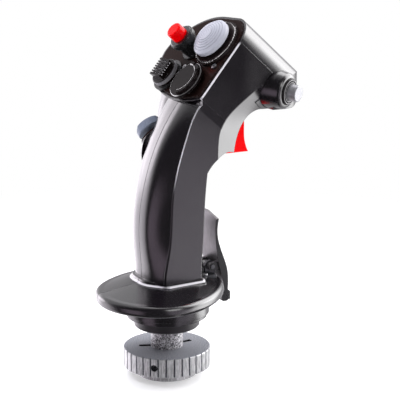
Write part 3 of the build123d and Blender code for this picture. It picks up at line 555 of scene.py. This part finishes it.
# The camera stands at EYE and looks at TARGET; BACK points from the part to the camera.
TARGET = Vector((-7.22, 26.94, 96.81)) * MM
EYE = Vector((701.46, -415.89, 308.27)) * MM
BACK = (EYE - TARGET).normalized()

camera_data = bpy.data.cameras.new("camera")
camera = bpy.data.objects.new("camera", camera_data)
scene.collection.objects.link(camera)
camera.location = EYE
camera.rotation_euler = BACK.to_track_quat("Z", "Y").to_euler()
camera_data.lens = 135.0
camera_data.sensor_width = 36.0
camera_data.clip_start = 0.05
camera_data.clip_end = 50.0
scene.camera = camera


def softbox(name, place, size, power, colour=(1.0, 1.0, 1.0)):
    """A rectangular lamp, in metres and watts, turned to the part."""
    data = bpy.data.lights.new(name, "AREA")
    data.shape = "RECTANGLE"
    data.size, data.size_y = size
    data.energy = power
    data.color = colour
    light = bpy.data.objects.new(name, data)
    scene.collection.objects.link(light)
    light.location = place
    light.rotation_euler = (Vector(place) - TARGET).normalized().to_track_quat("Z", "Y").to_euler()
    light.visible_camera = False
    return light


top_box = softbox("top_box", (-0.25, -0.35, 0.95), (0.7, 0.7), 9.0, (0.96, 0.96, 1.0))
top_box.visible_glossy = False
softbox("fill_box", (0.75, 0.1, 0.55), (0.5, 0.5), 2.0)

# The panel the flat right side mirrors, turned square to that mirror direction.
side_card = softbox("side_card", (0.42, 0.19, -0.066), (0.30, 0.60), 0.31, (0.95, 0.86, 1.0))
side_card.rotation_euler = Matrix(((0, 0, 1), (0.563, -0.826, 0), (0.826, 0.563, 0))).to_euler()

# Lights far away that the glossy paint mirrors: direction, half angle in degrees that is fully bright,
# half angle where the light ends, strength and tint.
LOBES = (
    ((-0.88, -0.40, -0.26), 14, 44, 1.4, (0.98, 0.90, 1.0)),
    ((0.27, 0.95, -0.12), 9, 34, 3.6, (1.0, 1.0, 1.0)),
    ((-0.02, 0.86, 0.51), 9, 40, 4.6, (1.0, 0.99, 1.0)),
    ((-0.97, 0.02, 0.02), 12, 32, 1.5, (0.98, 0.95, 1.0)),
    ((-0.92, -0.34, 0.20), 8, 19, 2.2, (1.0, 0.93, 1.0)),
    ((0.14, -0.97, -0.20), 8, 24, 0.55, (1.0, 0.80, 1.0)),
    ((0.45, 0.62, -0.64), 12, 34, 1.2, (1.0, 0.98, 1.0)),
    ((-0.40, 0.40, 0.825), 8, 20, 3.0, (1.0, 0.99, 1.0)),
)

# The room's own brightness, behind the part and on the camera's side.
FAR_GLOW = 0.75
NEAR_GLOW = 0.05

world = bpy.data.worlds.new("studio")
scene.world = world
world.use_nodes = True
tree = world.node_tree
tree.nodes.clear()
link = tree.links.new
coord = tree.nodes.new("ShaderNodeTexCoord").outputs["Generated"]


def facing(direction, low, high, to_low, to_high):
    """A smooth step of how closely a ray points along a direction."""
    dot = tree.nodes.new("ShaderNodeVectorMath")
    dot.operation = "DOT_PRODUCT"
    link(coord, dot.inputs[0])
    dot.inputs[1].default_value = Vector(direction).normalized()
    step = tree.nodes.new("ShaderNodeMapRange")
    step.interpolation_type = "SMOOTHSTEP"
    link(dot.outputs["Value"], step.inputs[0])
    for key, value in zip((1, 2, 3, 4), (low, high, to_low, to_high)):
        step.inputs[key].default_value = value
    return step.outputs[0]


def glow(strength, tint):
    """A background shader of one tint."""
    node = tree.nodes.new("ShaderNodeBackground")
    node.inputs["Color"].default_value = (*tint, 1.0)
    if isinstance(strength, float):
        node.inputs["Strength"].default_value = strength
    else:
        link(strength, node.inputs["Strength"])
    return node.outputs[0]


def joined(kind, first, second, factor=None):
    """Two shaders added, or mixed by a factor."""
    node = tree.nodes.new(kind)
    start = 0
    if factor is not None:
        link(factor, node.inputs[0])
        start = 1
    link(first, node.inputs[start])
    link(second, node.inputs[start + 1])
    return node.outputs[0]


total = glow(facing((-BACK.x, -BACK.y, 0.1), -0.25, 0.45, NEAR_GLOW, FAR_GLOW), (0.98, 0.97, 1.0))
for direction, inner, outer, strength, tint in LOBES:
    lobe = facing(direction, math.cos(math.radians(outer)), math.cos(math.radians(inner)), 0.0, strength)
    total = joined("ShaderNodeAddShader", total, glow(lobe, tint))
path = tree.nodes.new("ShaderNodeLightPath").outputs["Is Camera Ray"]
seen = joined("ShaderNodeMixShader", total, glow(1.0, (1.0, 1.0, 1.0)), path)
link(seen, tree.nodes.new("ShaderNodeOutputWorld").inputs[0])

# The floor fades to plain white round the part.
bpy.ops.mesh.primitive_circle_add(vertices=96, radius=3.0, fill_type="NGON", location=(0, 0, -0.0003))
floor = bpy.context.object
floor.name = "floor"
s = Shader("floor_white")
fade = s.ramp(s.vector("LENGTH", s.place, None, "Value"), 0.10, 0.45)
s.feed(s.bsdf, "Base Color", (0.85, 0.85, 0.86, 1.0))
s.feed(s.bsdf, "Roughness", 0.6)
s.feed(s.bsdf, "Emission Color", (1.0, 1.0, 1.0, 1.0))
s.feed(s.bsdf, "Emission Strength", 0.35)
plain_white = s.add("ShaderNodeEmission", Strength=1.0)
blend = s.add("ShaderNodeMixShader", Fac=fade)
s.tree.links.new(s.bsdf.outputs[0], blend.inputs[1])
s.tree.links.new(plain_white.outputs[0], blend.inputs[2])
s.tree.links.new(blend.outputs[0], s.tree.nodes["Material Output"].inputs["Surface"])
floor.data.materials.append(s.material)
floor.visible_glossy = False
floor.visible_shadow = False

# A grey card under the floor, which only the nut's right-hand teeth mirror.
bpy.ops.mesh.primitive_plane_add(size=0.11, location=(0.065, 0.065, -0.004))
flag = bpy.context.object
flag.name = "flag_card"
flag.visible_camera = False
flag.visible_diffuse = False
flag.visible_shadow = False
s = Shader("flag_grey")
s.feed(s.bsdf, "Base Color", (0.04, 0.04, 0.042, 1.0))
s.feed(s.bsdf, "Roughness", 0.8)
flag.data.materials.append(s.material)

scene.view_settings.view_transform = "Standard"
scene.view_settings.look = "None"
